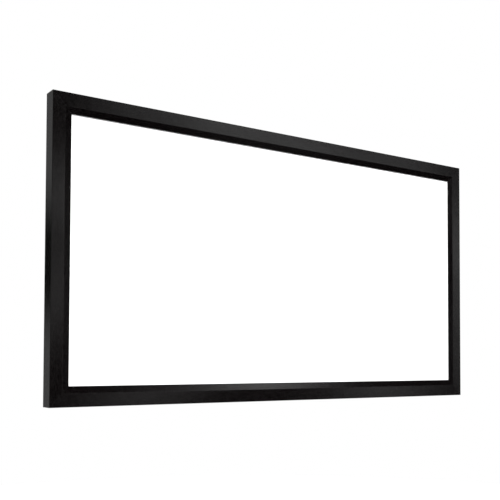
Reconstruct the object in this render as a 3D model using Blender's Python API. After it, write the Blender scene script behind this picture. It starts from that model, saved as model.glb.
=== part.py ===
"""A fixed-frame projector screen, built in Blender 4.5 in metres with +Z up.

Four mitred aluminium rails, faced with velvet, hold a white sheet. Rods in the sheet's hems are
pulled by coil springs that hook on a rib behind each rail. Steel angles join the corners, a
support bar keeps the long rails straight, and hangers and clips hold the frame on a wall.
The picture faces -Y and the wall is at +Y. The origin is the middle of the bottom edge.
"""

import math
from collections import namedtuple
from functools import partial

import bmesh
import bpy
from mathutils import Vector

# Driving dimensions. A rail's section is drawn in u, from its outer edge towards the picture,
# and v, from the front plane towards the wall. The third direction, s, runs along the rail.
VIEW_WIDTH = 2.090
VIEW_HEIGHT = 1.045
BORDER = 0.080
DEPTH = 0.066
FIT = 0.0003  # clearance between pieces that touch

# Front of a rail: a thin metal rim, a face that leans in a little, and a bevel to a round nose
RIM = 0.0020
RIM_ROUND = 0.0008
FACE_WIDTH = 0.0525
FACE_DROP = 0.0030
NOSE_DROP = 0.0091
LIP = 0.0016
VELVET = 0.0008
VELVET_RETURN = 0.0080
LIP_STEP = 0.0100
PLATE = 0.0020

# Back of a rail: a box of two chambers, a slot for the corner angles, a flange for the hangers
WALL = 0.0025
BOX_WIDTH = 0.0265
WEB = 0.0020
WEB_DEPTH = 0.0310
SLOT_INSET = 0.0040
SLOT_WIDTH = 0.0185
SLOT_DEPTH = 0.0040
SLOT_MOUTH = 0.0120
SLOT_LIP = 0.0020
EDGE_ROUND = 0.0010
FLANGE_DEPTH = 0.0500
FLANGE_REACH = 0.0115
FLANGE = 0.0025

# Sheet, rods and springs
SHEET = 0.0006
ROD_RADIUS = 0.0025
ROD_INSET = 0.0160
ROD_PROUD = 0.0060
HEM_SINK = 0.0001
HEM_WELD = 0.0140
HEM_END = 0.0200
NOTCH = 0.0130
NOTCH_MARGIN = 0.0020
LONG_SPRINGS = 7
SHORT_SPRINGS = 3
WIRE_RADIUS = 0.0006
COIL_RADIUS = 0.0034
COIL_TURNS = 5
COIL_LEAD = 0.0024
HOOK_TAIL = 0.0024
RIB = 0.0020
RIB_INSET = 0.0320
RIB_PAST_AXIS = 0.0016

# Corner angles
ANGLE_ARM = 0.1100
ANGLE_ROUND = 0.0040
SET_SCREW_HOLE = 0.0025
SET_SCREW_PLACES = (0.050, 0.090)

# Support bar, its shoes and their screws
BAR_WIDTH = 0.0400
BAR_THICK = 0.0120
BAR_WALL = 0.0015
SHOE = 0.0020
SHOE_CHEEK = 0.0340
SHOE_ROUND = 0.0015
TAB_REACH = 0.0105
TAB_SCREW_OFFSET = 0.0120
TAB_SCREW_INSET = 0.0065
CHEEK_SCREW_INSET = 0.0220
SCREW_RADIUS = 0.0020
SCREW_HEAD_RADIUS = 0.0040
SCREW_HEAD = 0.0024
SCREW_POINT = 0.0004
CHEEK_SCREW_REACH = 0.0050

# Wall fittings
BRACKET_OFFSET = 0.6200
HANGER = 0.0030
HANGER_LENGTH = 0.1400
HANGER_TONGUE = 0.0180
HANGER_JOG = 0.0050
HANGER_PLATE = 0.0330
HANGER_HOLE_OFFSET = 0.0500
CLIP = 0.0012
CLIP_LENGTH = 0.0500
CLIP_PLATE = 0.0360
CLIP_LEG = 0.0050
CLIP_NOSE = 0.0025
CLIP_ROUND = 0.0020
CLIP_HOLE_OFFSET = 0.0140
WALL_HOLE_RADIUS = 0.0028
WALL_HOLE_SLOT = 0.0060

# Worked out from the values above
WIDTH = VIEW_WIDTH + 2 * BORDER
HEIGHT = VIEW_HEIGHT + 2 * BORDER
SKIN = VELVET + FIT
NOSE_RADIUS = LIP / 2 + SKIN
NOSE_CENTRE = (BORDER - NOSE_RADIUS, NOSE_DROP + NOSE_RADIUS)
SHEET_V = NOSE_CENTRE[1] + NOSE_RADIUS + FIT
HEM_RADIUS = ROD_RADIUS + FIT + SHEET
ROD_U = BORDER - ROD_INSET
ROD_V = SHEET_V + HEM_SINK + HEM_RADIUS
FLANGE_END = BOX_WIDTH + FLANGE_REACH
FLANGE_BACK = FLANGE_DEPTH + FLANGE
SLOT_V = DEPTH - SLOT_LIP - SLOT_DEPTH
SLOT_MIDDLE = SLOT_INSET + SLOT_WIDTH / 2
SHOE_U = BOX_WIDTH + FIT
BAR_BACK = FLANGE_DEPTH - 2 * FIT - SHOE
BAR_FRONT = BAR_BACK - BAR_THICK
BAR_MIDDLE = (BAR_FRONT + BAR_BACK) / 2
BAR_END_U = SHOE_U + SHOE + FIT
MITRE_SHIFT = FIT / math.sqrt(2)
ROUND_SIDES = 8
TURN_STEPS = 7

# Each side of the frame, with its turn about Y and its distance from the centre
Side = namedtuple("Side", "name turn length away springs")
SIDES = (
    Side("top", 0.0, WIDTH, HEIGHT / 2, LONG_SPRINGS),
    Side("right", math.pi / 2, HEIGHT, WIDTH / 2, SHORT_SPRINGS),
    Side("bottom", math.pi, WIDTH, HEIGHT / 2, LONG_SPRINGS),
    Side("left", 3 * math.pi / 2, HEIGHT, WIDTH / 2, SHORT_SPRINGS),
)


def arc(centre, radius, start, end, steps):
    """Points on an arc, angles in degrees."""
    angles = [math.radians(start + (end - start) * i / steps) for i in range(steps + 1)]
    return [(centre[0] + radius * math.cos(a), centre[1] + radius * math.sin(a)) for a in angles]


def offset_path(path, distance):
    """An open path moved sideways, towards its right when it runs along +u, which is +v."""
    moved = []
    for i, point in enumerate(path):
        before = path[max(i - 1, 0)]
        after = path[min(i + 1, len(path) - 1)]
        if i in (0, len(path) - 1):
            normal = side_normal(before, after)
            scale = 1.0
        else:
            first = side_normal(before, point)
            second = side_normal(point, after)
            normal = (first + second).normalized()
            scale = 1.0 / normal.dot(first)
        moved.append((point[0] + normal.x * distance * scale, point[1] + normal.y * distance * scale))
    return moved


def side_normal(start, end):
    """The unit normal of a stretch, on the +v side when the stretch runs along +u."""
    along = (Vector(end) - Vector(start)).normalized()
    return Vector((-along.y, along.x))


def level_at(path, u):
    """The v of a path that runs along u, at one u."""
    for (u0, v0), (u1, v1) in zip(path, path[1:]):
        if min(u0, u1) <= u <= max(u0, u1):
            return v0 + (v1 - v0) * (u - u0) / (u1 - u0)
    raise ValueError("the path does not reach this u")


def rounded(path, radius, steps=3):
    """An open path with its inner corners turned into arcs."""
    result = [path[0]]
    for before, corner, after in zip(path, path[1:], path[2:]):
        back = (Vector(before) - Vector(corner)).normalized()
        ahead = (Vector(after) - Vector(corner)).normalized()
        half = back.angle(ahead) / 2
        centre = Vector(corner) + (back + ahead).normalized() * radius / math.sin(half)
        first = Vector(corner) + back * radius / math.tan(half) - centre
        start = math.degrees(math.atan2(first.y, first.x))
        swing = 180 - 2 * math.degrees(half)
        side = math.copysign(1, back.y * ahead.x - back.x * ahead.y)
        result += arc(centre, radius, start, start + side * swing, steps)
    result.append(path[-1])
    return result


def strip(path, thickness):
    """The closed outline of a bent sheet, from its middle line."""
    return offset_path(path, -thickness / 2) + offset_path(path, thickness / 2)[::-1]


def bevel_start():
    """Where the bevel's straight part meets the round of the nose."""
    to_centre = Vector(NOSE_CENTRE) - Vector((FACE_WIDTH, FACE_DROP))
    slope = math.atan2(to_centre.y, to_centre.x) - math.asin(NOSE_RADIUS / to_centre.length)
    reach = math.sqrt(to_centre.length**2 - NOSE_RADIUS**2)
    return (FACE_WIDTH + reach * math.cos(slope), FACE_DROP + reach * math.sin(slope)), slope


def front_path(start_u, end_u):
    """The velvet's outer surface: face, bevel, nose and the return behind the lip."""
    tangent, slope = bevel_start()
    nose = arc(NOSE_CENTRE, NOSE_RADIUS, math.degrees(slope) - 90, 90, 8)
    return [
        (start_u, FACE_DROP * start_u / FACE_WIDTH),
        (FACE_WIDTH, FACE_DROP),
        *nose,
        (end_u, NOSE_CENTRE[1] + NOSE_RADIUS),
    ]


def velvet_section():
    outer = front_path(RIM + FIT, NOSE_CENTRE[0] - VELVET_RETURN)
    return outer + offset_path(outer, VELVET)[::-1]


def rail_section():
    """The rail's outline and its two chambers."""
    lip_end = BORDER - LIP_STEP
    front = offset_path(front_path(RIM, lip_end), SKIN)
    front[0] = (RIM, front[0][1])
    plate = offset_path(front_path(RIM, lip_end)[:3], SKIN + PLATE)
    axis_tip = ROD_V + RIB_PAST_AXIS
    rib_tip = (RIB_INSET + RIB / 2, axis_tip - RIB / 2)
    outline = arc((RIM_ROUND, RIM_ROUND), RIM_ROUND, 180, 270, 3)
    outline += [(RIM, 0.0), *front]
    outline += [(lip_end, level_at(plate, lip_end)), plate[1]]
    outline += [(RIB_INSET + RIB, level_at(plate, RIB_INSET + RIB))]
    outline += arc(rib_tip, RIB / 2, 0, 180, 4)
    outline += [(RIB_INSET, level_at(plate, RIB_INSET)), (BOX_WIDTH, level_at(plate, BOX_WIDTH))]
    outline += [(BOX_WIDTH, FLANGE_DEPTH)]
    outline += arc((FLANGE_END - FLANGE / 2, FLANGE_DEPTH + FLANGE / 2), FLANGE / 2, -90, 90, 4)
    outline += [(BOX_WIDTH, FLANGE_BACK)]
    outline += arc((BOX_WIDTH - EDGE_ROUND, DEPTH - EDGE_ROUND), EDGE_ROUND, 0, 90, 2)
    outline += slot_path()
    outline += arc((EDGE_ROUND, DEPTH - EDGE_ROUND), EDGE_ROUND, 90, 180, 2)
    return [outline, *chambers(plate)]


def slot_path():
    """The undercut slot in the back of a rail, from its picture side to its outer side."""
    floor = SLOT_V
    undercut = DEPTH - SLOT_LIP
    return [
        (SLOT_MIDDLE + SLOT_MOUTH / 2, DEPTH),
        (SLOT_MIDDLE + SLOT_MOUTH / 2, undercut),
        (SLOT_MIDDLE + SLOT_WIDTH / 2, undercut),
        (SLOT_MIDDLE + SLOT_WIDTH / 2, floor),
        (SLOT_MIDDLE - SLOT_WIDTH / 2, floor),
        (SLOT_MIDDLE - SLOT_WIDTH / 2, undercut),
        (SLOT_MIDDLE - SLOT_MOUTH / 2, undercut),
        (SLOT_MIDDLE - SLOT_MOUTH / 2, DEPTH),
    ]


def chambers(plate):
    """The two hollows of the box, either side of its web."""
    low_u = WALL
    high_u = BOX_WIDTH - WALL
    back = SLOT_V - WEB
    front = [
        (low_u, level_at(plate, RIM + FIT)),
        (high_u, level_at(plate, high_u)),
        (high_u, WEB_DEPTH - WEB / 2),
        (low_u, WEB_DEPTH - WEB / 2),
    ]
    rear = [
        (low_u, WEB_DEPTH + WEB / 2),
        (high_u, WEB_DEPTH + WEB / 2),
        (high_u, back),
        (low_u, back),
    ]
    return [front, rear]


def prism(name, loops, put, levels):
    """A solid between two ends: put gives a point's place from its end's level and its outline."""
    bm = bmesh.new()
    ends = []
    for level in levels:
        rings = [[bm.verts.new(put(level, *point)) for point in loop] for loop in loops]
        edges = [bm.edges.new((a, b)) for ring in rings for a, b in zip(ring, ring[1:] + ring[:1])]
        bmesh.ops.triangle_fill(bm, use_beauty=True, edges=edges)
        ends.append(rings)
    for near_ring, far_ring in zip(*ends):
        for i in range(len(near_ring)):
            j = (i + 1) % len(near_ring)
            bm.faces.new((near_ring[i], near_ring[j], far_ring[j], far_ring[i]))
    return finished_mesh(name, bm)


def finished_mesh(name, bm):
    bmesh.ops.recalc_face_normals(bm, faces=bm.faces[:])
    mesh = bpy.data.meshes.new(name)
    bm.to_mesh(mesh)
    bm.free()
    return mesh


def along_rail(s, u, v):
    """A point of a side's own frame: s along the rail, u inwards, v towards the wall."""
    return Vector((s, v, -u))


def through_rail(v, s, u):
    return along_rail(s, u, v)


def across(x, y, z):
    return Vector((x, y, z))


def in_depth(y, x, z):
    return Vector((x, y, z))


def upwards(z, x, y):
    return Vector((x, y, z))


def in_whole(side, s, u, v):
    """A side's own point, in the frame of the whole screen's centre."""
    x = s * math.cos(side.turn) + (side.away - u) * math.sin(side.turn)
    z = -s * math.sin(side.turn) + (side.away - u) * math.cos(side.turn)
    return Vector((x, v, z))


def mitred(name, loops, length):
    """A section run along a side, with both ends cut at 45 degrees."""

    def cut(end, u, v):
        return along_rail(end * (length / 2 - u - MITRE_SHIFT), u, v)

    return prism(name, loops, cut, (-1, 1))


def bent_strip(name, path, thickness, length):
    """A folded sheet-metal piece whose section lies in u and v."""
    return prism(name, [strip(path, thickness)], along_rail, (-length / 2, length / 2))


def flat_plate(name, loops, v0, v1):
    """A plate whose outline lies in s and u, between two depths."""
    return prism(name, loops, through_rail, (v0, v1))


def circle(centre, radius, sides=ROUND_SIDES):
    return arc(centre, radius, 0, 360, sides)[:-1]


def slotted_hole(centre, radius, length):
    """A hole with round ends, longer along s."""
    s, u = centre
    right = arc((s + length / 2, u), radius, -90, 90, ROUND_SIDES // 2)
    left = arc((s - length / 2, u), radius, 90, 270, ROUND_SIDES // 2)
    return right + left


def joined(name, meshes):
    """Separate bodies in one mesh, for a Boolean."""
    bm = bmesh.new()
    for mesh in meshes:
        bm.from_mesh(mesh)
        bpy.data.meshes.remove(mesh)
    return finished_mesh(name, bm)


def boolean(mesh, tool, operation):
    """The mesh cut by the tool or united with it."""
    body = bpy.data.objects.new("body", mesh)
    other = bpy.data.objects.new("tool", tool)
    for item in (body, other):
        bpy.context.scene.collection.objects.link(item)
    cut = body.modifiers.new("Boolean", "BOOLEAN")
    cut.operation = operation
    cut.solver = "EXACT"
    cut.object = other
    shown = body.evaluated_get(bpy.context.evaluated_depsgraph_get())
    result = bpy.data.meshes.new_from_object(shown)
    result.name = mesh.name
    for item in (body, other):
        bpy.data.objects.remove(item)
    bpy.data.meshes.remove(mesh)
    bpy.data.meshes.remove(tool)
    return result


def turned(name, profile):
    """A solid turned about Z from a profile of radius and height that starts and ends at 0."""
    bm = bmesh.new()
    verts = [bm.verts.new((radius, 0.0, height)) for radius, height in profile]
    edges = [bm.edges.new(pair) for pair in zip(verts, verts[1:])]
    bmesh.ops.spin(
        bm,
        geom=verts + edges,
        axis=(0, 0, 1),
        cent=(0, 0, 0),
        angle=2 * math.pi,
        steps=ROUND_SIDES,
        use_merge=True,
    )
    bmesh.ops.remove_doubles(bm, verts=bm.verts[:], dist=0.000001)
    return finished_mesh(name, bm)


def material(name, colour, roughness, metallic):
    made = bpy.data.materials.new(name)
    made.use_nodes = True
    shader = made.node_tree.nodes["Principled BSDF"]
    shader.inputs["Base Color"].default_value = (*colour, 1.0)
    shader.inputs["Roughness"].default_value = roughness
    shader.inputs["Metallic"].default_value = metallic
    return made


def side_frame(name, turn, away):
    """An empty at the middle of a side's outer front edge, which carries that side's pieces."""
    frame = bpy.data.objects.new("side_" + name, None)
    frame.location = (away * math.sin(turn), -DEPTH / 2, HEIGHT / 2 + away * math.cos(turn))
    frame.rotation_euler = (0.0, turn, 0.0)
    bpy.context.scene.collection.objects.link(frame)
    return frame


def place(name, data, finish, parent, location=(0, 0, 0), rotation=(0, 0, 0)):
    """One piece in its own node, under its side's empty."""
    piece = bpy.data.objects.new(name, data)
    if not data.materials:
        data.materials.append(finish)
    if isinstance(data, bpy.types.Mesh):
        data.shade_smooth()
        data.set_sharp_from_angle(angle=math.radians(35))
    piece.parent = parent
    piece.location = location
    piece.rotation_euler = rotation
    bpy.context.scene.collection.objects.link(piece)
    return piece


def spring_places(side):
    """Where the springs of a side sit along it."""
    pitch = (side.length - 2 * BORDER) / side.springs
    return [pitch * (i - (side.springs - 1) / 2) for i in range(side.springs)]


def hem_half(length):
    """Half the length of a side's hem."""
    return length / 2 - ROD_U - HEM_END


def build_rail(name, length, holes):
    mesh = mitred("rail_" + name, rail_section(), length)
    if holes:
        drill = [
            flat_plate("drill", [circle(hole, SCREW_RADIUS + FIT)], FLANGE_DEPTH - WALL, DEPTH)
            for hole in holes
        ]
        mesh = boolean(mesh, joined("drills", drill), "DIFFERENCE")
    return mesh


def sheet_outline():
    """The sheet's edge in x and z, with a notch at each spring and its corners cut off."""
    notch_u = ROD_U + ROD_RADIUS + FIT + 2 * WIRE_RADIUS + NOTCH_MARGIN
    outline = []
    for side in SIDES:
        half = hem_half(side.length)
        run = [(-half, ROD_U)]
        for s in spring_places(side):
            left = s - NOTCH / 2
            right = s + NOTCH / 2
            run += [(left, ROD_U), (left, notch_u), (right, notch_u), (right, ROD_U)]
        run.append((half, ROD_U))
        points = [in_whole(side, s, u, SHEET_V) for s, u in run]
        outline += [(point.x, point.z) for point in points]
    return outline


def hem_section():
    """A hem: the sheet folded round the rod and welded to its own back."""
    weld_back = SHEET_V + 2 * SHEET
    weld_front = SHEET_V + SHEET / 2
    drop = ROD_V - weld_back
    start = -math.degrees(math.asin(drop / HEM_RADIUS))
    outer = arc((ROD_U, ROD_V), HEM_RADIUS, start, 270, 8)
    front = [(ROD_U + HEM_RADIUS / 2, weld_front), (ROD_U + HEM_WELD, weld_front)]
    tail = [(ROD_U + HEM_WELD, weld_back)]
    return [outer + front + tail, circle((ROD_U, ROD_V), HEM_RADIUS - SHEET)]


def build_sheet():
    """The sheet with all its hems, in the frame of the whole screen's centre."""
    outline = [sheet_outline()]
    sheet = prism("screen_sheet", outline, in_depth, (SHEET_V, SHEET_V + SHEET))
    hems = []
    for side in SIDES:
        stops = [-hem_half(side.length)]
        for s in spring_places(side):
            stops += [s - NOTCH / 2, s + NOTCH / 2]
        stops.append(hem_half(side.length))
        for stretch in zip(stops[::2], stops[1::2]):
            hems.append(prism("hem", hem_section(), partial(in_whole, side), stretch))
    return boolean(sheet, joined("hems", hems), "UNION")


def build_rod(name, length):
    half = hem_half(length) + ROD_PROUD
    return prism(name, [circle((ROD_U, ROD_V), ROD_RADIUS)], along_rail, (-half, half))


def spring_points():
    """The middle line of a spring's wire: along it from the rib's hook to the rod's."""
    rib_hook = RIB_INSET - FIT - WIRE_RADIUS + COIL_RADIUS
    rod_hook = ROD_U + ROD_RADIUS + FIT + WIRE_RADIUS - COIL_RADIUS
    hook = arc((rib_hook, ROD_V), COIL_RADIUS, 180, 90, 2)
    points = [(0.0, rib_hook - COIL_RADIUS, ROD_V - HOOK_TAIL)]
    points += [(0.0, u, v) for u, v in hook]
    start = rib_hook + COIL_LEAD
    end = rod_hook - COIL_LEAD
    steps = COIL_TURNS * TURN_STEPS
    for i in range(steps + 1):
        turn = 2 * math.pi * COIL_TURNS * i / steps
        u = start + (end - start) * i / steps
        points.append((COIL_RADIUS * math.sin(turn), u, ROD_V + COIL_RADIUS * math.cos(turn)))
    points += [(0.0, u, v) for u, v in arc((rod_hook, ROD_V), COIL_RADIUS, 90, -150, 6)]
    return points


def build_spring():
    """A coil spring with a hook at each end, as one curve with a round section."""
    curve = bpy.data.curves.new("spring", "CURVE")
    curve.dimensions = "3D"
    curve.bevel_depth = WIRE_RADIUS
    curve.bevel_resolution = 0
    curve.use_fill_caps = True
    points = spring_points()
    spline = curve.splines.new("POLY")
    spline.points.add(len(points) - 1)
    for slot, (s, u, v) in zip(spline.points, points):
        slot.co = (*along_rail(s, u, v), 1.0)
    spline.use_smooth = True
    return curve


def build_angle():
    """The steel angle inside a corner, with its corner at the end of a side, in s and u."""
    low = SLOT_INSET + FIT
    high = SLOT_INSET + SLOT_WIDTH - FIT
    outline = [(-ANGLE_ARM, high), (-high, high), (-high, ANGLE_ARM), (-low, ANGLE_ARM)]
    outline += arc((-low - ANGLE_ROUND, low + ANGLE_ROUND), ANGLE_ROUND, 0, -90, 3)
    outline += [(-ANGLE_ARM, low)]
    holes = [circle((-place_, SLOT_MIDDLE), SET_SCREW_HOLE) for place_ in SET_SCREW_PLACES]
    holes += [circle((-SLOT_MIDDLE, place_), SET_SCREW_HOLE) for place_ in SET_SCREW_PLACES]
    return flat_plate("corner_angle", [outline, *holes], SLOT_V + FIT, DEPTH - SLOT_LIP - FIT)


def build_bar():
    """The support bar: a flat tube between the long rails, drilled for the shoes' screws."""
    half = HEIGHT / 2 - BAR_END_U
    outer = box_outline(BAR_WIDTH / 2, BAR_FRONT, BAR_BACK)
    inner = box_outline(BAR_WIDTH / 2 - BAR_WALL, BAR_FRONT + BAR_WALL, BAR_BACK - BAR_WALL)
    mesh = prism("support_bar", [outer, inner], upwards, (-half, half))
    level = HEIGHT / 2 - SHOE_U - CHEEK_SCREW_INSET
    drill = [cross_drill(sign * level, BAR_WIDTH) for sign in (-1, 1)]
    return boolean(mesh, joined("drills", drill), "DIFFERENCE")


def box_outline(half_width, low, high):
    return [(-half_width, low), (half_width, low), (half_width, high), (-half_width, high)]


def cross_drill(level, reach):
    """A drill across the bar, at one height."""
    outline = [circle((BAR_MIDDLE, level), SCREW_RADIUS + FIT)]
    return prism("drill", outline, across, (-reach, reach))


def build_shoe():
    """The U-shaped shoe that holds a bar's end, with a tab that screws to the rail's flange."""
    inside = BAR_WIDTH / 2 + FIT
    outside = inside + SHOE
    end = SHOE_U + SHOE_CHEEK
    base = SHOE_U + SHOE
    outer = [(-outside, end), (-outside, SHOE_U), (outside, SHOE_U), (outside, end)]
    inner = [(inside, end), (inside, base), (-inside, base), (-inside, end)]
    outline = rounded(outer, SHOE_ROUND) + inner
    back = FLANGE_DEPTH - FIT
    shoe = flat_plate("bar_shoe", [outline], BAR_FRONT, back)
    tab_end = SHOE_U + TAB_REACH
    tab = [(-inside - SHOE / 2, SHOE_U + SHOE / 2), (inside + SHOE / 2, SHOE_U + SHOE / 2)]
    tab += [(inside + SHOE / 2, tab_end), (-inside - SHOE / 2, tab_end)]
    holes = [circle(hole, SCREW_RADIUS + FIT) for hole in tab_screws()]
    shoe = boolean(shoe, flat_plate("tab", [tab, *holes], back - SHOE, back), "UNION")
    outline = [circle((SHOE_U + CHEEK_SCREW_INSET, BAR_MIDDLE), SCREW_RADIUS + FIT)]
    drill = prism("drill", outline, along_rail, (-BAR_WIDTH, BAR_WIDTH))
    return boolean(shoe, drill, "DIFFERENCE")


def tab_screws():
    """Where the flange's screws sit, in s and u."""
    return [(sign * TAB_SCREW_OFFSET, SHOE_U + TAB_SCREW_INSET) for sign in (-1, 1)]


def build_screw(name, reach):
    """A pan-head screw along Z: its seat is at 0, its head above and its shank below."""
    head = [
        (SCREW_HEAD_RADIUS, 0.0),
        (SCREW_HEAD_RADIUS, SCREW_HEAD * 0.5),
        (SCREW_HEAD_RADIUS * 0.8, SCREW_HEAD * 0.88),
        (SCREW_HEAD_RADIUS * 0.4, SCREW_HEAD),
        (0.0, SCREW_HEAD),
    ]
    shank = [(0.0, -reach), (SCREW_RADIUS - SCREW_POINT, -reach)]
    shank += [(SCREW_RADIUS, -reach + SCREW_POINT), (SCREW_RADIUS, 0.0)]
    return turned(name, shank + head)


def build_hanger():
    """An upper wall hanger: a tongue behind the flange, a jog and a plate on the wall."""
    tongue_v = FLANGE_BACK + FIT + HANGER / 2
    wall_v = DEPTH - HANGER / 2
    top = BOX_WIDTH + FIT
    jog = top + HANGER_TONGUE
    plate = jog + HANGER_JOG
    path = [(top, tongue_v), (jog, tongue_v), (plate, wall_v), (plate + HANGER_PLATE, wall_v)]
    mesh = bent_strip("wall_hanger", path, HANGER, HANGER_LENGTH)
    level = plate + HANGER_PLATE / 2
    holes = [(place_, level) for place_ in (-HANGER_HOLE_OFFSET, HANGER_HOLE_OFFSET)]
    return drilled(mesh, holes, tongue_v + HANGER)


def build_clip():
    """A lower wall clip: a plate on the wall and a leg that snaps over the flange."""
    wall_v = DEPTH - CLIP / 2
    over_u = FLANGE_END + FIT + CLIP / 2
    leg_v = FLANGE_DEPTH - FIT - CLIP / 2
    leg_u = FLANGE_END - CLIP_LEG
    path = [
        (leg_u - CLIP_NOSE, leg_v - CLIP_NOSE),
        (leg_u, leg_v),
        (over_u, leg_v),
        (over_u, wall_v),
        (over_u + CLIP_PLATE, wall_v),
    ]
    mesh = bent_strip("wall_clip", rounded(path, CLIP_ROUND), CLIP, CLIP_LENGTH)
    level = over_u + CLIP_PLATE / 2
    holes = [(place_, level) for place_ in (-CLIP_HOLE_OFFSET, CLIP_HOLE_OFFSET)]
    return drilled(mesh, holes, DEPTH - 2 * CLIP)


def drilled(mesh, holes, from_v):
    """A wall plate with its slotted screw holes."""
    drill = [
        flat_plate("drill", [slotted_hole(hole, WALL_HOLE_RADIUS, WALL_HOLE_SLOT)], from_v, 2 * DEPTH)
        for hole in holes
    ]
    return boolean(mesh, joined("drills", drill), "DIFFERENCE")


def build_finishes():
    return {
        "rail": material("black_anodised", (0.018, 0.018, 0.019), 0.42, 0.6),
        "velvet": material("black_velvet", (0.012, 0.012, 0.013), 0.95, 0.0),
        "sheet": material("matt_white_cloth", (0.85, 0.85, 0.85), 0.9, 0.0),
        "rod": material("glass_fibre", (0.55, 0.56, 0.5), 0.45, 0.0),
        "steel": material("zinc_steel", (0.56, 0.57, 0.58), 0.35, 1.0),
        "coated": material("black_steel", (0.03, 0.03, 0.03), 0.5, 0.0),
    }


def add_side(side, finishes, spring):
    """The rail, velvet, rod and springs of one side, and the angle at its end."""
    name = side.name
    frame = side_frame(name, side.turn, side.away)
    holes = tab_screws() if name in ("top", "bottom") else []
    place("rail_" + name, build_rail(name, side.length, holes), finishes["rail"], frame)
    velvet = mitred("velvet_" + name, [velvet_section()], side.length)
    place("velvet_" + name, velvet, finishes["velvet"], frame)
    place("rod_" + name, build_rod("rod_" + name, side.length), finishes["rod"], frame)
    for number, s in enumerate(spring_places(side), 1):
        place(f"spring_{name}_{number}", spring, finishes["steel"], frame, (s, 0, 0))
    return frame


def add_bar_end(name, frame, finishes, shoe, tab_screw, cheek_screw):
    """The shoe that holds the bar to a long rail, and its four screws."""
    place("bar_shoe_" + name, shoe, finishes["coated"], frame)
    for number, (s, u) in enumerate(tab_screws(), 1):
        seat = along_rail(s, u, FLANGE_BACK + FIT)
        turn = (-math.pi / 2, 0, 0)
        place(f"tab_screw_{name}_{number}", tab_screw, finishes["steel"], frame, seat, turn)
    seat_s = BAR_WIDTH / 2 + 2 * FIT + SHOE
    for number, sign in enumerate((-1, 1), 1):
        seat = along_rail(sign * seat_s, SHOE_U + CHEEK_SCREW_INSET, BAR_MIDDLE)
        turn = (0, sign * math.pi / 2, 0)
        place(f"cheek_screw_{name}_{number}", cheek_screw, finishes["steel"], frame, seat, turn)


def add_corner_angles(frames, finishes):
    angle = build_angle()
    corners = ("top_right", "bottom_right", "bottom_left", "top_left")
    for side, corner in zip(SIDES, corners):
        place("angle_" + corner, angle, finishes["steel"], frames[side.name], (side.length / 2, 0, 0))


def add_wall_fittings(frames, finishes):
    """Hangers under the top rail and clips over the bottom rail."""
    hanger = build_hanger()
    clip = build_clip()
    for word, sign in (("left", -1), ("right", 1)):
        place("hanger_" + word, hanger, finishes["coated"], frames["top"], (sign * BRACKET_OFFSET, 0, 0))
        place("clip_" + word, clip, finishes["coated"], frames["bottom"], (-sign * BRACKET_OFFSET, 0, 0))


def build():
    for item in list(bpy.data.objects):
        bpy.data.objects.remove(item)
    finishes = build_finishes()
    spring = build_spring()
    frames = {side.name: add_side(side, finishes, spring) for side in SIDES}
    centre = bpy.data.objects.new("centre", None)
    centre.location = (0.0, -DEPTH / 2, HEIGHT / 2)
    bpy.context.scene.collection.objects.link(centre)
    place("screen_sheet", build_sheet(), finishes["sheet"], centre)
    place("support_bar", build_bar(), finishes["rail"], centre)
    shoe = build_shoe()
    tab_screw = build_screw("tab_screw", FLANGE + FIT + SHOE + FIT)
    cheek_screw = build_screw("cheek_screw", CHEEK_SCREW_REACH)
    for name in ("top", "bottom"):
        add_bar_end(name, frames[name], finishes, shoe, tab_screw, cheek_screw)
    add_corner_angles(frames, finishes)
    add_wall_fittings(frames, finishes)


build()
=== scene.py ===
"""The looks of a fixed-frame projector screen: velvet, anodised metal, cloth, wire and light.

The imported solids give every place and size. Lengths are in metres, +Z is up, the picture faces
-Y, and s, u and v are as in the part: along a rail, in from its outer edge, and back from the
front plane.
"""

import math

import bmesh
import bpy
from mathutils import Matrix, Vector


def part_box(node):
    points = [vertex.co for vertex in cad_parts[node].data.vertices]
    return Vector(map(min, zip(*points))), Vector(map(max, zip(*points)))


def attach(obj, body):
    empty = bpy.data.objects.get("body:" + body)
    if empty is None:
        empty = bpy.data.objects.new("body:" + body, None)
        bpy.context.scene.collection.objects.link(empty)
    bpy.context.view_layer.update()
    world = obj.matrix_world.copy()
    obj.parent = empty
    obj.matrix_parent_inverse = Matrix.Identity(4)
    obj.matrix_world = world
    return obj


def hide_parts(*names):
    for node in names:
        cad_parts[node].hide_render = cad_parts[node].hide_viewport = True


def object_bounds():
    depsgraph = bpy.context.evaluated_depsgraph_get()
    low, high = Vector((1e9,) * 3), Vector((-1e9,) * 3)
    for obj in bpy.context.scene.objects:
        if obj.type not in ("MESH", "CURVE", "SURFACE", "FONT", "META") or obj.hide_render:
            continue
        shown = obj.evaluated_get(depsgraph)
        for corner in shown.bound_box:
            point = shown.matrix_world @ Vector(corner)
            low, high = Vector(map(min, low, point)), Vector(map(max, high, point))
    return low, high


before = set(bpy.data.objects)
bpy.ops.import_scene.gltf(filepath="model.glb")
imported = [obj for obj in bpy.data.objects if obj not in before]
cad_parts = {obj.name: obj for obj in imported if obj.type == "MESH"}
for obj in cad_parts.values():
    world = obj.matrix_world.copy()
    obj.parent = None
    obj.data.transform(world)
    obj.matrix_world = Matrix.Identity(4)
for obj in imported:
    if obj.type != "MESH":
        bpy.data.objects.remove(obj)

CAD_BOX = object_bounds()

# Places that the frame gives
LOW, HIGH = CAD_BOX
WIDTH = HIGH.x - LOW.x
HEIGHT = HIGH.z - LOW.z
FRONT = LOW.y
CENTRE = Vector((0.0, FRONT, (LOW.z + HIGH.z) / 2))

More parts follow.
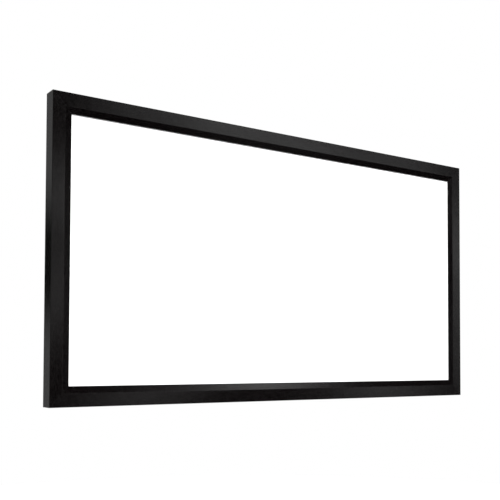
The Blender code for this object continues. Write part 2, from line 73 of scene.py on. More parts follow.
# Sizes of the part that a box doesn't give
FIT = 0.0003
SHEET = 0.0006
NOTCH = 0.0130
HEM_END = 0.0200
HEM_WELD = 0.0140
NOTCH_ROUND = 0.0015
NOTCH_GAP = 0.0020
WIRE_RADIUS = 0.0006
COIL_TURNS = 5
SET_SCREW_PLACES = (0.050, 0.090)
SLOT_MIDDLE = 0.01325
CREASE = 0.0525
SCREW_RADIUS = 0.0020
SCREW_HEAD_RADIUS = 0.0040
SCREW_HEAD = 0.0024
SCREW_REACH = 0.0051

# Details that only the scene has
HEM_STEPS = 26
NOTCH_STEPS = 4
HOOK_STEPS = 8
HOOK_DROPS = (0.0024, 0.0012)
HOOK_END = 240
COIL_STEPS = 20
COIL_LEAD = 0.0024
WIRE_ROUNDS = 3
THREAD_PITCH = 0.0007
THREAD_DEPTH = 0.0003
THREAD_ROWS = 6
HEAD_FOOT = (0.97, 0.12)
HEAD_RIM = 0.2
HEAD_CURVE = 0.6
HEAD_DOME = (12, 84, 7)
RECESS_REACH = 0.0022
RECESS_ARM = 0.0005
RECESS_DEPTH = 0.0015
RECESS_TAPER = 0.55
RECESS_OPEN = 1.2
SET_SCREW_RADIUS = 0.0023
SET_SCREW_CHAMFER = 0.0003
SOCKET_RADIUS = 0.00145
SOCKET_DEPTH = 0.0016
SOCKET_SIDES = 6
LATHE_SIDES = 24
ROD_CHAMFER = 0.0004
GASKET_CLEAR = 0.00001
SAME_POINT = 0.000001
FACES_ALONG = 0.999
SMOOTH_ANGLE = math.radians(35)
EDGE_SAMPLES = 6

# Sockets of the Mix node, which Blender tells apart only by number
MIX_FACTOR, MIX_FIRST, MIX_SECOND, MIX_VALUE = 0, 2, 3, 0
MIX_FIRST_COLOUR, MIX_SECOND_COLOUR, MIX_COLOUR = 6, 7, 2

# Colours of the velvet's pile
VELVET_DARK = (0.0005, 0.0001, 0.0002)
VELVET_LIGHT = (0.0029, 0.0024, 0.0025)
# A painted highlight along the crease where the velvet's face turns into its bevel: its colour,
# and how far it reaches
VELVET_CREASE_HIGHLIGHT = (0.0100, 0.0095, 0.0095)
CREASE_HIGHLIGHT_REACH = 0.0013

# The sides of the frame: name, turn about Y, length, distance from the centre
SIDES = {
    "top": (0.0, WIDTH, HEIGHT / 2),
    "right": (math.pi / 2, HEIGHT, WIDTH / 2),
    "bottom": (math.pi, WIDTH, HEIGHT / 2),
    "left": (3 * math.pi / 2, HEIGHT, WIDTH / 2),
}

# The camera, found from the photograph's vanishing points. Pixels are of the 500 x 500 picture.
PICTURE_PIXELS = 500
FOCAL_PIXELS = 819.5
HORIZON_PIXEL = 330.0
SENSOR_MM = 36.0
CAMERA_PLACE = (-2.2278, -2.9953, 0.1875)
CAMERA_HEADING = 34.141
CAMERA_PITCH = 2.002
CAMERA_ROLL = 0.205


def make_camera():
    """A camera at the photograph's viewing angle."""
    data = bpy.data.cameras.new("camera")
    data.sensor_width = SENSOR_MM
    data.lens = FOCAL_PIXELS / PICTURE_PIXELS * SENSOR_MM
    data.shift_y = (HORIZON_PIXEL - PICTURE_PIXELS / 2) / PICTURE_PIXELS
    camera = bpy.data.objects.new("camera", data)
    heading = Matrix.Rotation(math.radians(-CAMERA_HEADING), 4, "Z")
    pitch = Matrix.Rotation(math.radians(90 + CAMERA_PITCH), 4, "X")
    roll = Matrix.Rotation(math.radians(CAMERA_ROLL), 4, "Z")
    camera.matrix_world = Matrix.Translation(CAMERA_PLACE) @ heading @ pitch @ roll
    bpy.context.scene.collection.objects.link(camera)
    bpy.context.scene.camera = camera


class Finish:
    """A node material, built from short calls."""

    def __init__(self, name, colour, roughness, metallic=0.0, **sockets):
        self.material = bpy.data.materials.new(name)
        self.material.use_nodes = True
        self.tree = self.material.node_tree
        self.shader = self.tree.nodes["Principled BSDF"]
        self.set(self.shader, "Base Color", (*colour, 1.0))
        self.set(self.shader, "Roughness", roughness)
        self.set(self.shader, "Metallic", metallic)
        for socket, value in sockets.items():
            self.set(self.shader, socket.replace("_", " "), value)
        self.place = self.tree.nodes.new("ShaderNodeTexCoord").outputs["Object"]

    @staticmethod
    def set(node, socket, value):
        node.inputs[socket].default_value = value

    def link(self, output, node, socket):
        self.tree.links.new(output, node.inputs[socket])

    def scaled(self, scale):
        """The object's own coordinates, stretched by a factor along each axis."""
        node = self.tree.nodes.new("ShaderNodeMapping")
        self.link(self.place, node, "Vector")
        self.set(node, "Scale", scale)
        return node.outputs["Vector"]

    def noise(self, scale, detail, rough, stretch=(1, 1, 1)):
        """Random cloud from 0 to 1, with so many features to the metre."""
        node = self.tree.nodes.new("ShaderNodeTexNoise")
        self.link(self.scaled(stretch), node, "Vector")
        self.set(node, "Scale", scale)
        self.set(node, "Detail", detail)
        self.set(node, "Roughness", rough)
        return node.outputs["Fac"]

    def wave(self, scale, direction):
        """Even bands across one axis, as of threads."""
        node = self.tree.nodes.new("ShaderNodeTexWave")
        node.bands_direction = direction
        self.link(self.place, node, "Vector")
        self.set(node, "Scale", scale)
        return node.outputs["Fac"]

    def mix(self, first, second, share):
        """Two values, with a share of the second."""
        node = self.tree.nodes.new("ShaderNodeMix")
        self.set(node, MIX_FACTOR, share)
        self.link(first, node, MIX_FIRST)
        self.link(second, node, MIX_SECOND)
        return node.outputs[MIX_VALUE]

    def blend(self, first, colour, share):
        """A colour laid over another by a share."""
        node = self.tree.nodes.new("ShaderNodeMix")
        node.data_type = "RGBA"
        self.link(share, node, MIX_FACTOR)
        self.link(first, node, MIX_FIRST_COLOUR)
        self.set(node, MIX_SECOND_COLOUR, (*colour, 1.0))
        return node.outputs[MIX_COLOUR]

    def near_crease(self, axis, reach):
        """1 on the line where the velvet's face turns into its bevel, 0 beyond a reach."""
        middle, half = {"X": (CENTRE.x, WIDTH / 2), "Z": (CENTRE.z, HEIGHT / 2)}[axis]
        parts = self.tree.nodes.new("ShaderNodeSeparateXYZ")
        self.link(self.place, parts, "Vector")
        value = parts.outputs[axis]
        from_middle = [("SUBTRACT", middle), ("ABSOLUTE", 0.0)]
        from_crease = [("SUBTRACT", half - CREASE), ("ABSOLUTE", 0.0)]
        for operation, number in from_middle + from_crease:
            node = self.tree.nodes.new("ShaderNodeMath")
            node.operation = operation
            self.link(value, node, 0)
            self.set(node, 1, number)
            value = node.outputs["Value"]
        return self.spread(value, 0.0, reach, 1.0, 0.0)

    def times(self, first, second):
        """One value times another."""
        node = self.tree.nodes.new("ShaderNodeMath")
        node.operation = "MULTIPLY"
        self.link(first, node, 0)
        self.link(second, node, 1)
        return node.outputs["Value"]

    def spread(self, value, low, high, out_low, out_high):
        """A value taken from one range to another, and held at its ends."""
        node = self.tree.nodes.new("ShaderNodeMapRange")
        self.link(value, node, "Value")
        self.set(node, "From Min", low)
        self.set(node, "From Max", high)
        self.set(node, "To Min", out_low)
        self.set(node, "To Max", out_high)
        return node.outputs["Result"]

    def ramp(self, value, stops):
        """A colour for each value, between stops of a value and a colour."""
        node = self.tree.nodes.new("ShaderNodeValToRGB")
        self.link(value, node, "Fac")
        band = node.color_ramp.elements
        while len(band) < len(stops):
            band.new(0.5)
        for element, (position, colour) in zip(band, stops):
            element.position = position
            element.color = (*colour, 1.0)
        return node.outputs["Color"]

    def colour(self, output):
        self.link(output, self.shader, "Base Color")

    def roughness(self, output):
        self.link(output, self.shader, "Roughness")

    def soften(self, radius):
        """Light rolls over the edges as over a small round."""
        node = self.tree.nodes.new("ShaderNodeBevel")
        node.samples = EDGE_SAMPLES
        self.set(node, "Radius", radius)
        self.link(node.outputs["Normal"], self.shader, "Normal")

    def bump(self, height, strength, distance):
        """Fine relief, on top of what bends the shading already."""
        node = self.tree.nodes.new("ShaderNodeBump")
        self.set(node, "Strength", strength)
        self.set(node, "Distance", distance)
        self.link(height, node, "Height")
        if self.shader.inputs["Normal"].links:
            self.link(self.shader.inputs["Normal"].links[0].from_socket, node, "Normal")
        self.link(node.outputs["Normal"], self.shader, "Normal")


def grey(value, warm=0.0):
    """A grey, with a little more red and less blue where it is warm."""
    return (value * (1 + warm), value, value * (1 - warm))


def velvet_finish(name, along):
    """Black pressed velvet: a short shining pile in patches and in streaks across the rail, and a
    painted highlight along the crease between face and bevel."""
    across = (1, 1, 0.12) if along == "x" else (0.12, 1, 1)
    sheen = dict(Specular_IOR_Level=0.5, Sheen_Weight=0.004, Sheen_Roughness=0.35)
    finish = Finish(name, grey(0.002), 0.14, **sheen)
    patches = finish.noise(26, 2.0, 0.45)
    streaks = finish.noise(1300, 2.0, 0.5, across)
    grain = finish.noise(150, 2.0, 0.6)
    pile = finish.noise(2400, 1.0, 0.5)
    nap = finish.mix(finish.mix(patches, streaks, 0.6), grain, 0.65)
    uneven = finish.spread(grain, 0.4, 0.6, 0.3, 1.0)
    # Painted highlight: the pile is made lighter along the crease, where the edge would catch the
    # light
    painted_crease_highlight = finish.times(finish.near_crease("Z" if along == "x" else "X", CREASE_HIGHLIGHT_REACH), uneven)
    pile_colour = finish.ramp(nap, [(0.40, VELVET_DARK), (0.60, VELVET_LIGHT)])
    finish.colour(finish.blend(pile_colour, VELVET_CREASE_HIGHLIGHT, painted_crease_highlight))
    finish.roughness(finish.spread(nap, 0.38, 0.62, 0.11, 0.15))
    finish.bump(patches, 0.18, 0.0010)
    finish.bump(streaks, 0.45, 0.00008)
    finish.bump(grain, 0.03, 0.0006)
    finish.bump(pile, 0.60, 0.00003)
    return finish.material


def anodised_finish(name, along):
    """Black anodised aluminium with faint die lines along the extrusion."""
    stretch = (0.02, 1, 1) if along == "x" else (1, 1, 0.02)
    finish = Finish(name, grey(0.004), 0.22, Specular_IOR_Level=0.5)
    finish.soften(0.0005)
    lines = finish.noise(900, 2.0, 0.5, stretch)
    cloud = finish.noise(9, 3.0, 0.5)
    finish.colour(finish.ramp(cloud, [(0.35, grey(0.0028, 0.04)), (0.65, grey(0.0040, 0.04))]))
    uneven = finish.mix(lines, cloud, 0.4)
    finish.roughness(finish.spread(uneven, 0.3, 0.7, 0.13, 0.19))
    finish.bump(lines, 0.05, 0.0001)
    return finish.material


def cloth_finish():
    """Matt white screen cloth with a fine woven backing that just shows as relief."""
    finish = Finish("screen_cloth", (0.88, 0.88, 0.88), 0.88, Specular_IOR_Level=0.25)
    weave = finish.times(finish.wave(420, "X"), finish.wave(420, "Z"))
    grain = finish.noise(900, 2.0, 0.5)
    cloud = finish.noise(2.2, 2.0, 0.5)
    tones = [(0.3, (0.865, 0.868, 0.872)), (0.7, (0.895, 0.894, 0.890))]
    finish.colour(finish.ramp(finish.mix(cloud, grain, 0.3), tones))
    finish.roughness(finish.spread(grain, 0.3, 0.7, 0.84, 0.93))
    finish.bump(weave, 0.10, 0.0002)
    finish.bump(grain, 0.12, 0.0002)
    return finish.material


def coated_finish():
    """Black powder coat with its orange-peel grain."""
    finish = Finish("powder_coat", grey(0.028), 0.48, Specular_IOR_Level=0.5)
    peel = finish.noise(620, 3.0, 0.6)
    cloud = finish.noise(26, 2.0, 0.5)
    finish.colour(finish.ramp(cloud, [(0.3, grey(0.024)), (0.7, grey(0.034))]))
    finish.roughness(finish.spread(peel, 0.3, 0.7, 0.40, 0.56))
    finish.bump(peel, 0.35, 0.0003)
    return finish.material


def gasket_finish():
    """Dull black rubber."""
    finish = Finish("mitre_gasket", grey(0.002), 0.7, Specular_IOR_Level=0.3)
    dust = finish.noise(300, 3.0, 0.6)
    finish.colour(finish.ramp(dust, [(0.35, grey(0.0015)), (0.65, grey(0.0030))]))
    finish.roughness(finish.spread(dust, 0.3, 0.7, 0.62, 0.78))
    finish.bump(dust, 0.10, 0.0001)
    return finish.material


def zinc_finish(name, roughness):
    """Zinc-plated steel: grey with faint patches and fine scratches."""
    finish = Finish(name, grey(0.55), roughness, 1.0)
    patches = finish.noise(70, 4.0, 0.6)
    scratches = finish.noise(500, 2.0, 0.6, (0.08, 1, 1))
    finish.colour(finish.ramp(patches, [(0.3, (0.48, 0.49, 0.505)), (0.7, (0.60, 0.60, 0.595))]))
    uneven = finish.mix(patches, scratches, 0.5)
    finish.roughness(finish.spread(uneven, 0.3, 0.7, roughness - 0.08, roughness + 0.12))
    finish.bump(scratches, 0.10, 0.0002)
    return finish.material


def fibre_finish():
    """Glass-fibre rod: pale green-grey resin with long strands."""
    finish = Finish("glass_fibre", (0.52, 0.55, 0.47), 0.42, Specular_IOR_Level=0.45)
    strands = finish.noise(700, 2.0, 0.6, (0.03, 1, 0.03))
    finish.colour(finish.ramp(strands, [(0.3, (0.42, 0.45, 0.38)), (0.7, (0.62, 0.64, 0.56))]))
    finish.bump(strands, 0.15, 0.0002)
    return finish.material


def dress(node, material):
    """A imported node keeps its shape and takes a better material."""
    item = bpy.data.objects[node]
    item.data.materials.clear()
    item.data.materials.append(material)


def in_side(side, s, u, v):
    """A point of a side's own frame, in the world."""
    turn, _, away = SIDES[side]
    x = s * math.cos(turn) + (away - u) * math.sin(turn)
    z = -s * math.sin(turn) + (away - u) * math.cos(turn)
    return Vector((CENTRE.x + x, FRONT + v, CENTRE.z + z))


def side_of(node):
    """The side that a node's name gives."""
    return next(side for side in SIDES if f"_{side}" in node)


def along_side(side, offset):
    """How far along a side a point lies, from its offset to the frame's middle."""
    turn, _, _ = SIDES[side]
    return offset.x * math.cos(turn) - offset.z * math.sin(turn)


def add_piece(name, data, material):
    """A new piece of the part from a mesh or a curve."""
    if not data.materials:
        data.materials.append(material)
    piece = bpy.data.objects.new(name, data)
    bpy.context.scene.collection.objects.link(piece)
    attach(piece, "root")
    return piece


def nodes_named(start):
    """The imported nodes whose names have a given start."""
    return sorted(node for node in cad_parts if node.startswith(start))


def dress_nodes():
    """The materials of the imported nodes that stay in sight."""
    velvets = {along: velvet_finish("velvet_" + along, along) for along in "xz"}
    rails = {along: anodised_finish("anodised_" + along, along) for along in "xz"}
    coated = coated_finish()
    zinc = zinc_finish("zinc_plate", 0.30)
    for side in SIDES:
        along = "x" if side in ("top", "bottom") else "z"
        dress("velvet_" + side, velvets[along])
        dress("rail_" + side, rails[along])
    dress("support_bar", rails["z"])
    for node in nodes_named("bar_shoe") + nodes_named("hanger") + nodes_named("clip"):
        dress(node, coated)
    for node in nodes_named("angle"):
        dress(node, zinc)


def arc(centre, radius, start, end, steps):
    """Points on an arc, angles in degrees."""
    angles = [math.radians(start + (end - start) * i / steps) for i in range(steps + 1)]
    return [(centre[0] + radius * math.cos(a), centre[1] + radius * math.sin(a)) for a in angles]


def rod_place():
    """The u and v of a rod's middle, and its radius."""
    low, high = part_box("rod_top")
    radius = (high.y - low.y) / 2
    return HIGH.z - (low.z + high.z) / 2, (low.y + high.y) / 2 - FRONT, radius


def spring_place(side, node):
    """How far along its side a spring sits."""
    low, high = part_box(node)
    return along_side(side, (low + high) / 2 - CENTRE)


def spring_places(side):
    """The places of a side's springs, in order."""
    return sorted(spring_place(side, node) for node in nodes_named("spring_" + side))


def hem_half(side):
    """Half a hem's length."""
    rod_u, _, _ = rod_place()
    return SIDES[side][1] / 2 - rod_u - HEM_END


def cloth_outline(notch_u):
    """The cloth's edge, with a round-cornered notch at each spring and cut-off corners."""
    rod_u, _, _ = rod_place()
    corner, steps = NOTCH_ROUND, NOTCH_STEPS
    outline = []
    for side in SIDES:
        half = hem_half(side)
        run = [(-half, rod_u)]
        for s in spring_places(side):
            left, right = s - NOTCH / 2, s + NOTCH / 2
            run.append((left, rod_u))
            run += arc((left + corner, notch_u - corner), corner, 180, 90, steps)
            run += arc((right - corner, notch_u - corner), corner, 90, 0, steps)
            run.append((right, rod_u))
        run.append((half, rod_u))
        outline += [(side, s, u) for s, u in run]
    return outline


def fill(bm, *rings):
    """Flat faces between the rings of points, which lie in one plane."""
    edges = [bm.edges.new(pair) for each in rings for pair in zip(each, each[1:] + each[:1])]
    bmesh.ops.triangle_fill(bm, use_beauty=True, edges=edges)


def bridge(bm, near, far):
    """A band of faces from one ring of points to another."""
    for i in range(len(near)):
        j = (i + 1) % len(near)
        bm.faces.new((near[i], near[j], far[j], far[i]))


def panel(bm, outline, front_v, back_v):
    """The flat of the cloth between two depths."""
    rings = []
    for v in (front_v, back_v):
        rings.append([bm.verts.new(in_side(side, s, u, v)) for side, s, u in outline])
        fill(bm, rings[-1])
    bridge(bm, *rings)


def hem_rise(radius):
    """How far round the rod, in degrees below its side, the cloth meets its own back."""
    return math.degrees(math.asin((radius - 2 * SHEET) / radius))


def hem_loop(radius):
    """A hem's outline in u and v: the cloth round the rod, sewn down on its own back."""
    rod_u, rod_v, _ = rod_place()
    outer = arc((rod_u, rod_v), radius, -hem_rise(radius), 270, HEM_STEPS)
    tail_u = rod_u + HEM_WELD
    tail = [(tail_u, rod_v - radius), (tail_u, rod_v - radius + 2 * SHEET)]
    hollow = arc((rod_u, rod_v), radius - SHEET, -90, 270, HEM_STEPS)
    return outer + tail, hollow[:-1]


def hem(bm, side, start, end, radius):
    """A hem from one place along a side to another."""
    ends = []
    for s in (start, end):
        rings = []
        for loop in hem_loop(radius):
            rings.append([bm.verts.new(in_side(side, s, u, v)) for u, v in loop])
        fill(bm, *rings)
        ends.append(rings)
    for near, far in zip(*ends):
        bridge(bm, near, far)


def smooth(mesh):
    """Round shapes are shaded smooth and edges stay sharp."""
    mesh.shade_smooth()
    mesh.set_sharp_from_angle(angle=SMOOTH_ANGLE)
    return mesh


def mesh_from(name, bm):
    """A mesh from a finished bmesh, with its faces turned outwards."""
    bmesh.ops.recalc_face_normals(bm, faces=bm.faces[:])
    mesh = bpy.data.meshes.new(name)
    bm.to_mesh(mesh)
    bm.free()
    return smooth(mesh)


def make_cloth():
    """The screen cloth and its hems, cut from one sheet and held flat by the rods."""
    low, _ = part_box("screen_sheet")
    sheet_v = low.y - FRONT
    rod_u, _, rod_radius = rod_place()
    hem_radius = rod_radius + FIT + SHEET
    notch_u = rod_u + rod_radius + FIT + 2 * WIRE_RADIUS + NOTCH_GAP
    bm = bmesh.new()
    panel(bm, cloth_outline(notch_u), sheet_v, sheet_v + SHEET)
    for side in SIDES:
        stops = [-hem_half(side)]
        for s in spring_places(side):
            stops += [s - NOTCH / 2, s + NOTCH / 2]
        stops.append(hem_half(side))
        for start, end in zip(stops[::2], stops[1::2]):
            hem(bm, side, start, end, hem_radius)
    cloth = add_piece("screen_cloth", mesh_from("screen_cloth", bm), cloth_finish())
    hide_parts("screen_sheet")


def spring_curve(node):
    """A spring's wire as a smooth curve, hooked on the rib and on the rod."""
    side = side_of(node)
    turn, _, away = SIDES[side]
    low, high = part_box(node)
    middle_s = spring_place(side, node)
    corners = (low - CENTRE, high - CENTRE)
    outward = [corner.x * math.sin(turn) + corner.z * math.cos(turn) for corner in corners]
    first_u = away - max(outward)
    last_u = away - min(outward)
    _, rod_v, _ = rod_place()
    radius = high.y - FRONT - rod_v - WIRE_RADIUS
    rib_hook = first_u + WIRE_RADIUS + radius
    rod_hook = last_u - WIRE_RADIUS - radius
    points = [(0, rib_hook - radius, rod_v - drop) for drop in HOOK_DROPS]
    points += [(0, u, v) for u, v in arc((rib_hook, rod_v), radius, 180, 90, HOOK_STEPS)]
    steps = COIL_TURNS * COIL_STEPS
    first_coil = rib_hook + COIL_LEAD
    last_coil = rod_hook - COIL_LEAD
    for i in range(steps + 1):
        spin = 2 * math.pi * COIL_TURNS * i / steps
        u = first_coil + (last_coil - first_coil) * i / steps
        points.append((radius * math.sin(spin), u, rod_v + radius * math.cos(spin)))
    rod_arc = arc((rod_hook, rod_v), radius, 90, 90 - HOOK_END, COIL_STEPS)
    points += [(0, u, v) for u, v in rod_arc]
    curve = bpy.data.curves.new(node + "_wire", "CURVE")
    curve.dimensions = "3D"
    curve.bevel_depth = WIRE_RADIUS
    curve.bevel_resolution = WIRE_ROUNDS
    curve.use_fill_caps = True
    spline = curve.splines.new("POLY")
    spline.points.add(len(points) - 1)
    for point, (s, u, v) in zip(spline.points, points):
        point.co = (*in_side(side, middle_s + s, u, v), 1.0)
    spline.use_smooth = True
    return curve


def make_springs():
    """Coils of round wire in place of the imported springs."""
    wire = zinc_finish("spring_wire", 0.26)
    for node in nodes_named("spring"):
        piece = add_piece(node + "_coil", spring_curve(node), wire)
        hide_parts(node)


def ring(bm, radius, z, sides=LATHE_SIDES):
    """A ring of new points about the Z axis."""
    points = arc((0.0, 0.0), radius, 0, 360, sides)[:-1]
    return [bm.verts.new((x, y, z)) for x, y in points]


def skin(bm, loops):
    """Bands of faces from each ring to the next, closed at the first one."""
    for low, high in zip(loops, loops[1:]):
        bridge(bm, low, high)
    bm.faces.new(loops[0])


def lathe(shape):
    """A new bmesh with a ring for each radius and height, closed at the lowest one."""
    bm = bmesh.new()
    loops = [ring(bm, radius, z) for radius, z in shape]
    skin(bm, loops)
    return bm, loops


def make_rods():
    """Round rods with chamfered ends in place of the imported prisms."""
    fibre = fibre_finish()
    _, _, radius = rod_place()
    for side in SIDES:
        low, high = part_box("rod_" + side)
        length = max(high - low)
        edge = radius - ROD_CHAMFER
        shape = [(edge, 0.0), (radius, ROD_CHAMFER)]
        shape += [(radius, length - ROD_CHAMFER), (edge, length)]
        bm, loops = lathe(shape)
        bm.faces.new(loops[-1])
        along = Vector((1, 0, 0)) if high.x - low.x > high.z - low.z else Vector((0, 0, 1))
        place = (low + high) / 2 - along * (length / 2)
        rod = turned_to(mesh_from("rod", bm), along, place)
        piece = add_piece("fibre_rod_" + side, rod, fibre)
        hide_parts("rod_" + side)


def make_gaskets():
    """A thin black pad in each mitre, cut to the rail's section, that keeps light out."""
    rubber = gasket_finish()
    names = list(SIDES)
    for side, following in zip(names, names[1:] + names[:1]):
        facing = (in_side(side, 1.0, 1.0, 0.0) - in_side(side, 0.0, 0.0, 0.0)).normalized()
        bm = bmesh.new()
        for node in ("rail_" + side, "velvet_" + side):
            mesh = bpy.data.objects[node].data
            for polygon in mesh.polygons:
                if polygon.normal.dot(facing) > FACES_ALONG:
                    near = [mesh.vertices[i].co + facing * GASKET_CLEAR for i in polygon.vertices]
                    bm.faces.new([bm.verts.new(co) for co in near])
        bmesh.ops.remove_doubles(bm, verts=bm.verts[:], dist=SAME_POINT)
        made = bmesh.ops.extrude_face_region(bm, geom=bm.faces[:])["geom"]
        far = [item for item in made if isinstance(item, bmesh.types.BMVert)]
        bmesh.ops.translate(bm, verts=far, vec=facing * (FIT - 2 * GASKET_CLEAR))
        piece = add_piece(f"gasket_{side}_{following}", mesh_from("gasket", bm), rubber)


def recess_cutter():
    """The tapered cross that a driver fits."""
    reach, arm, taper = RECESS_REACH, RECESS_ARM, RECESS_TAPER
    outline = []
    for x, y in ((1, 1), (-1, 1), (-1, -1), (1, -1)):
        tips = [(x * reach, y * arm), (x * arm, y * arm), (x * arm, y * reach)]
        outline += tips if x * y > 0 else tips[::-1]
    floor = SCREW_HEAD - RECESS_DEPTH
    bm = bmesh.new()
    top = [bm.verts.new((x, y, SCREW_HEAD * RECESS_OPEN)) for x, y in outline]
    low = [bm.verts.new((x * taper, y * taper, floor)) for x, y in outline]
    for loop in (top, low):
        fill(bm, loop)
    bridge(bm, top, low)
    return mesh_from("recess", bm)


def screw_blank():
    """A pan-head screw without its recess: the seat at 0, the head above, the thread below."""
    bm = bmesh.new()
    foot, foot_rise = HEAD_FOOT
    head = [(SCREW_HEAD_RADIUS * foot, 0.0), (SCREW_HEAD_RADIUS, SCREW_HEAD * foot_rise)]
    for x, y in arc((0.0, 0.0), 1.0, *HEAD_DOME):
        rise = HEAD_RIM + (1.0 - HEAD_RIM) * y
        head.append((SCREW_HEAD_RADIUS * x ** HEAD_CURVE, SCREW_HEAD * rise))
    rings = [ring(bm, radius, z) for radius, z in head]
    rows = round(SCREW_REACH / THREAD_PITCH * THREAD_ROWS)
    shank = []
    for row in range(rows + 1):
        z = -SCREW_REACH * row / rows
        tip = min(1.0, (SCREW_REACH + z) / THREAD_PITCH)
        loop = ring(bm, 1.0, z)
        for i, vert in enumerate(loop):
            phase = (z / THREAD_PITCH - i / LATHE_SIDES) % 1.0
            radius = SCREW_RADIUS - THREAD_DEPTH * (1.0 - tip * (1.0 - abs(2 * phase - 1)))
            vert.co.x *= radius
            vert.co.y *= radius
        shank.append(loop)
    skin(bm, shank[::-1] + rings)
    bm.faces.new(rings[-1])
    return mesh_from("screw_blank", bm)


def cut(mesh, cutter):
    """One mesh with another taken out of it."""
    body = bpy.data.objects.new("body", mesh)
    tool = bpy.data.objects.new("tool", cutter)
    for item in (body, tool):
        bpy.context.scene.collection.objects.link(item)
    modifier = body.modifiers.new("cut", "BOOLEAN")
    modifier.solver = "EXACT"
    modifier.object = tool
    depsgraph = bpy.context.evaluated_depsgraph_get()
    result = bpy.data.meshes.new_from_object(body.evaluated_get(depsgraph))
    for item in (body, tool):
        bpy.data.objects.remove(item)
    return smooth(result)


def set_screw():
    """A headless screw with a hexagon socket: its top at 0 and its point below."""
    low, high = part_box("angle_top_left")
    length = high.y - low.y
    edge = SET_SCREW_RADIUS - SET_SCREW_CHAMFER
    shape = [(edge, -length), (SET_SCREW_RADIUS, SET_SCREW_CHAMFER - length)]
    shape += [(SET_SCREW_RADIUS, -SET_SCREW_CHAMFER), (edge, 0.0)]
    bm, loops = lathe(shape)
    mouth = ring(bm, SOCKET_RADIUS, 0.0, SOCKET_SIDES)
    floor = ring(bm, SOCKET_RADIUS, -SOCKET_DEPTH, SOCKET_SIDES)
    rim = loops[-1]
    rim_edges = [bm.edges.get(pair) for pair in zip(rim, rim[1:] + rim[:1])]
    mouth_edges = [bm.edges.new(pair) for pair in zip(mouth, mouth[1:] + mouth[:1])]
    bmesh.ops.triangle_fill(bm, use_beauty=True, edges=rim_edges + mouth_edges)
    bridge(bm, mouth, floor)
    bm.faces.new(floor)
    return mesh_from("set_screw", bm)


def turned_to(mesh, direction, place):
    """A copy of a mesh with its Z axis turned to a direction, at a place."""
    copy = mesh.copy()
    turn = Vector(direction).to_track_quat("Z", "Y").to_matrix().to_4x4()
    copy.transform(Matrix.Translation(place) @ turn)
    return copy


def make_screws():
    """Pan heads in place of the plain ones, and a set screw in each hole of the corner angles."""
    steel = zinc_finish("screw_zinc", 0.24)
    pan = cut(screw_blank(), recess_cutter())
    for node in nodes_named("tab_screw") + nodes_named("cheek_screw"):
        low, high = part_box(node)
        middle = (low + high) / 2
        sideways = node.startswith("cheek")
        outward = Vector((1, 0, 0)) if sideways else Vector((0, 1, 0))
        if sideways and middle.x < CENTRE.x:
            outward = -outward
        length = abs((high - low).dot(outward))
        seat = middle + outward * (length / 2 - SCREW_HEAD)
        piece = add_piece(node + "_pan", turned_to(pan, outward, seat), steel)
        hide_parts(node)
    grub = set_screw()
    _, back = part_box("angle_top_left")
    for side, (_, length, _) in SIDES.items():
        places = [sign * (length / 2 - inset) for sign in (-1, 1) for inset in SET_SCREW_PLACES]
        for number, s in enumerate(places, 1):
            place = in_side(side, s, SLOT_MIDDLE, back.y - FRONT - FIT)
            screw = turned_to(grub, (0, 1, 0), place)
            piece = add_piece(f"set_screw_{side}_{number}", screw, steel)


# The room: a pale floor below the screen, and a surround whose levels and edges were chosen to
# bring the border's tones near those of the photograph
FLOOR_DROP = 1.00
FLOOR_RADIUS = 4.6
FLOOR_SIDES = 96
SURROUND_SEEN = 1.0
SURROUND_FRONT = 0.008
SURROUND_LEFT = 0.38
SURROUND_RIGHT = 0.15
SURROUND_BACK = 0.26
LEFT_EDGE = (0.20, -0.10)
RIGHT_EDGE = (0.92, 0.99)
FRONT_FADE = (-0.3, 0.0)
BACK_FADE = (0.0, 0.4)
BAND_HEIGHT = 0.113
BAND_REACH = (0.030, 0.105)

# Each light: azimuth to the right of the front, elevation and breadth in degrees, and strength.
# The first two are the studio's own. The rest stand for a far window that the pile mirrors: their
# directions and strengths were fitted to the tones along the rails in the photograph.
LIGHTS = (
    (-20, 45, 30, 5.8),
    (165, 45, 50, 1.9),
    (37, 20, 5, 0.0106),
    (37, 8, 5, 0.0073),
    (31, 11, 5, 0.0063),
    (40, 20, 5, 0.0052),
    (43, 11, 10, 0.0045),
    (34, 11, 5, 0.0042),
    (28, 5, 5, 0.0038),
    (25, 11, 5, 0.0034),
    (43, 5, 5, 0.0030),
    (43, 8, 5, 0.0029),
    (31, 20, 5, 0.0024),
    (25, 2, 5, 0.0023),
    (43, 2, 5, 0.0022),
    (43, -1, 5, 0.0021),
    (34, 17, 18, 0.0020),
    (34, -10, 10, 0.0017),
    (45, 5, 5, 0.0011),
    (28, 11, 5, 0.0008),
    (47, 2, 5, 0.0003),
)


def make_floor():
    """A wide round floor, well below the screen."""
    bm = bmesh.new()
    bmesh.ops.create_circle(bm, cap_ends=True, segments=FLOOR_SIDES, radius=FLOOR_RADIUS)
    floor = bpy.data.objects.new("floor", mesh_from("floor", bm))
    floor.location = (0.0, 0.0, LOW.z - FLOOR_DROP)
    finish = Finish("pale_floor", grey(0.93), 0.8, Specular_IOR_Level=0.2)
    cloud = finish.noise(0.5, 2.0, 0.5)
    finish.colour(finish.ramp(cloud, [(0.3, grey(0.925)), (0.7, grey(0.945))]))
    floor.data.materials.append(finish.material)
    bpy.context.scene.collection.objects.link(floor)


def pointing(azimuth, elevation):
    """A direction, by its azimuth to the right of the front and its elevation."""
    a, e = math.radians(azimuth), math.radians(elevation)
    return Vector((math.sin(a) * math.cos(e), -math.cos(a) * math.cos(e), math.sin(e)))


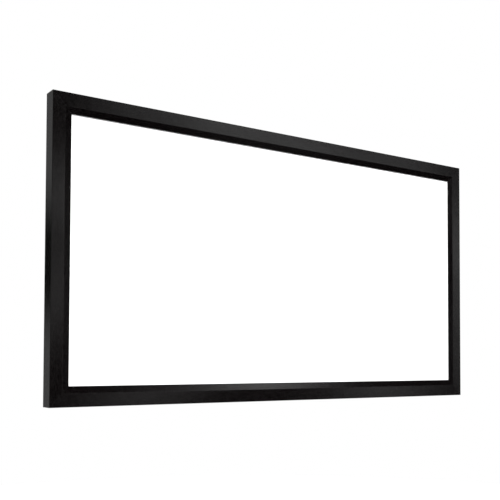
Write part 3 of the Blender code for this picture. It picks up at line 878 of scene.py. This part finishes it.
def make_surround():
    """The room, white where it is seen. Where it only lights, it has soft boxes to the left and
    right of a dark front, and is grey behind with a dark band."""
    world = bpy.data.worlds.new("surround")
    world.use_nodes = True
    tree = world.node_tree

    def node(kind, **settings):
        made = tree.nodes.new("ShaderNode" + kind)
        for name, value in settings.items():
            setattr(made, name, value)
        return made

    def rise(value, low, high, out_low, out_high):
        made = node("MapRange", interpolation_type="SMOOTHSTEP")
        limits = zip(("From Min", "From Max", "To Min", "To Max"), (low, high, out_low, out_high))
        for socket, number in limits:
            made.inputs[socket].default_value = number
        tree.links.new(value, made.inputs["Value"])
        return made.outputs["Result"]

    def maths(operation, first, second=None, number=0.0):
        made = node("Math", operation=operation)
        made.inputs[1].default_value = number
        tree.links.new(first, made.inputs[0])
        if second is not None:
            tree.links.new(second, made.inputs[1])
        return made.outputs["Value"]

    parts = node("SeparateXYZ")
    tree.links.new(node("TexCoord").outputs["Generated"], parts.inputs["Vector"])
    across, depth, level = (parts.outputs[axis] for axis in "XYZ")
    leftward = maths("MULTIPLY", across, number=-1.0)
    left = rise(leftward, -LEFT_EDGE[0], -LEFT_EDGE[1], 0.0, SURROUND_LEFT)
    right = rise(across, *RIGHT_EDGE, 0.0, SURROUND_RIGHT)
    boxes = maths("MULTIPLY", maths("ADD", left, right), rise(depth, *FRONT_FADE, 1.0, 0.0))
    off = maths("ABSOLUTE", maths("SUBTRACT", level, number=BAND_HEIGHT))
    room = rise(depth, *BACK_FADE, SURROUND_FRONT, SURROUND_BACK)
    behind = maths("MULTIPLY", room, rise(off, *BAND_REACH, 0.0, 1.0))
    seen = node("Mix")
    seen.inputs[MIX_SECOND].default_value = SURROUND_SEEN
    tree.links.new(node("LightPath").outputs["Is Camera Ray"], seen.inputs[MIX_FACTOR])
    tree.links.new(maths("ADD", boxes, behind), seen.inputs[MIX_FIRST])
    background = tree.nodes["Background"]
    background.inputs["Color"].default_value = (1.0, 1.0, 1.0, 1.0)
    tree.links.new(seen.outputs[MIX_VALUE], background.inputs["Strength"])
    bpy.context.scene.world = world


def make_lights():
    """Distant lights, each as broad as its breadth says."""
    for azimuth, elevation, breadth, strength in LIGHTS:
        name = f"light_{azimuth}_{elevation}"
        data = bpy.data.lights.new(name, "SUN")
        data.energy = strength
        data.angle = math.radians(breadth)
        light = bpy.data.objects.new(name, data)
        light.rotation_euler = pointing(azimuth, elevation).to_track_quat("Z", "Y").to_euler()
        bpy.context.scene.collection.objects.link(light)


make_camera()
dress_nodes()
make_cloth()
make_gaskets()
make_rods()
make_springs()
make_screws()
make_floor()
make_surround()
make_lights()
bpy.context.scene.view_settings.view_transform = "Standard"
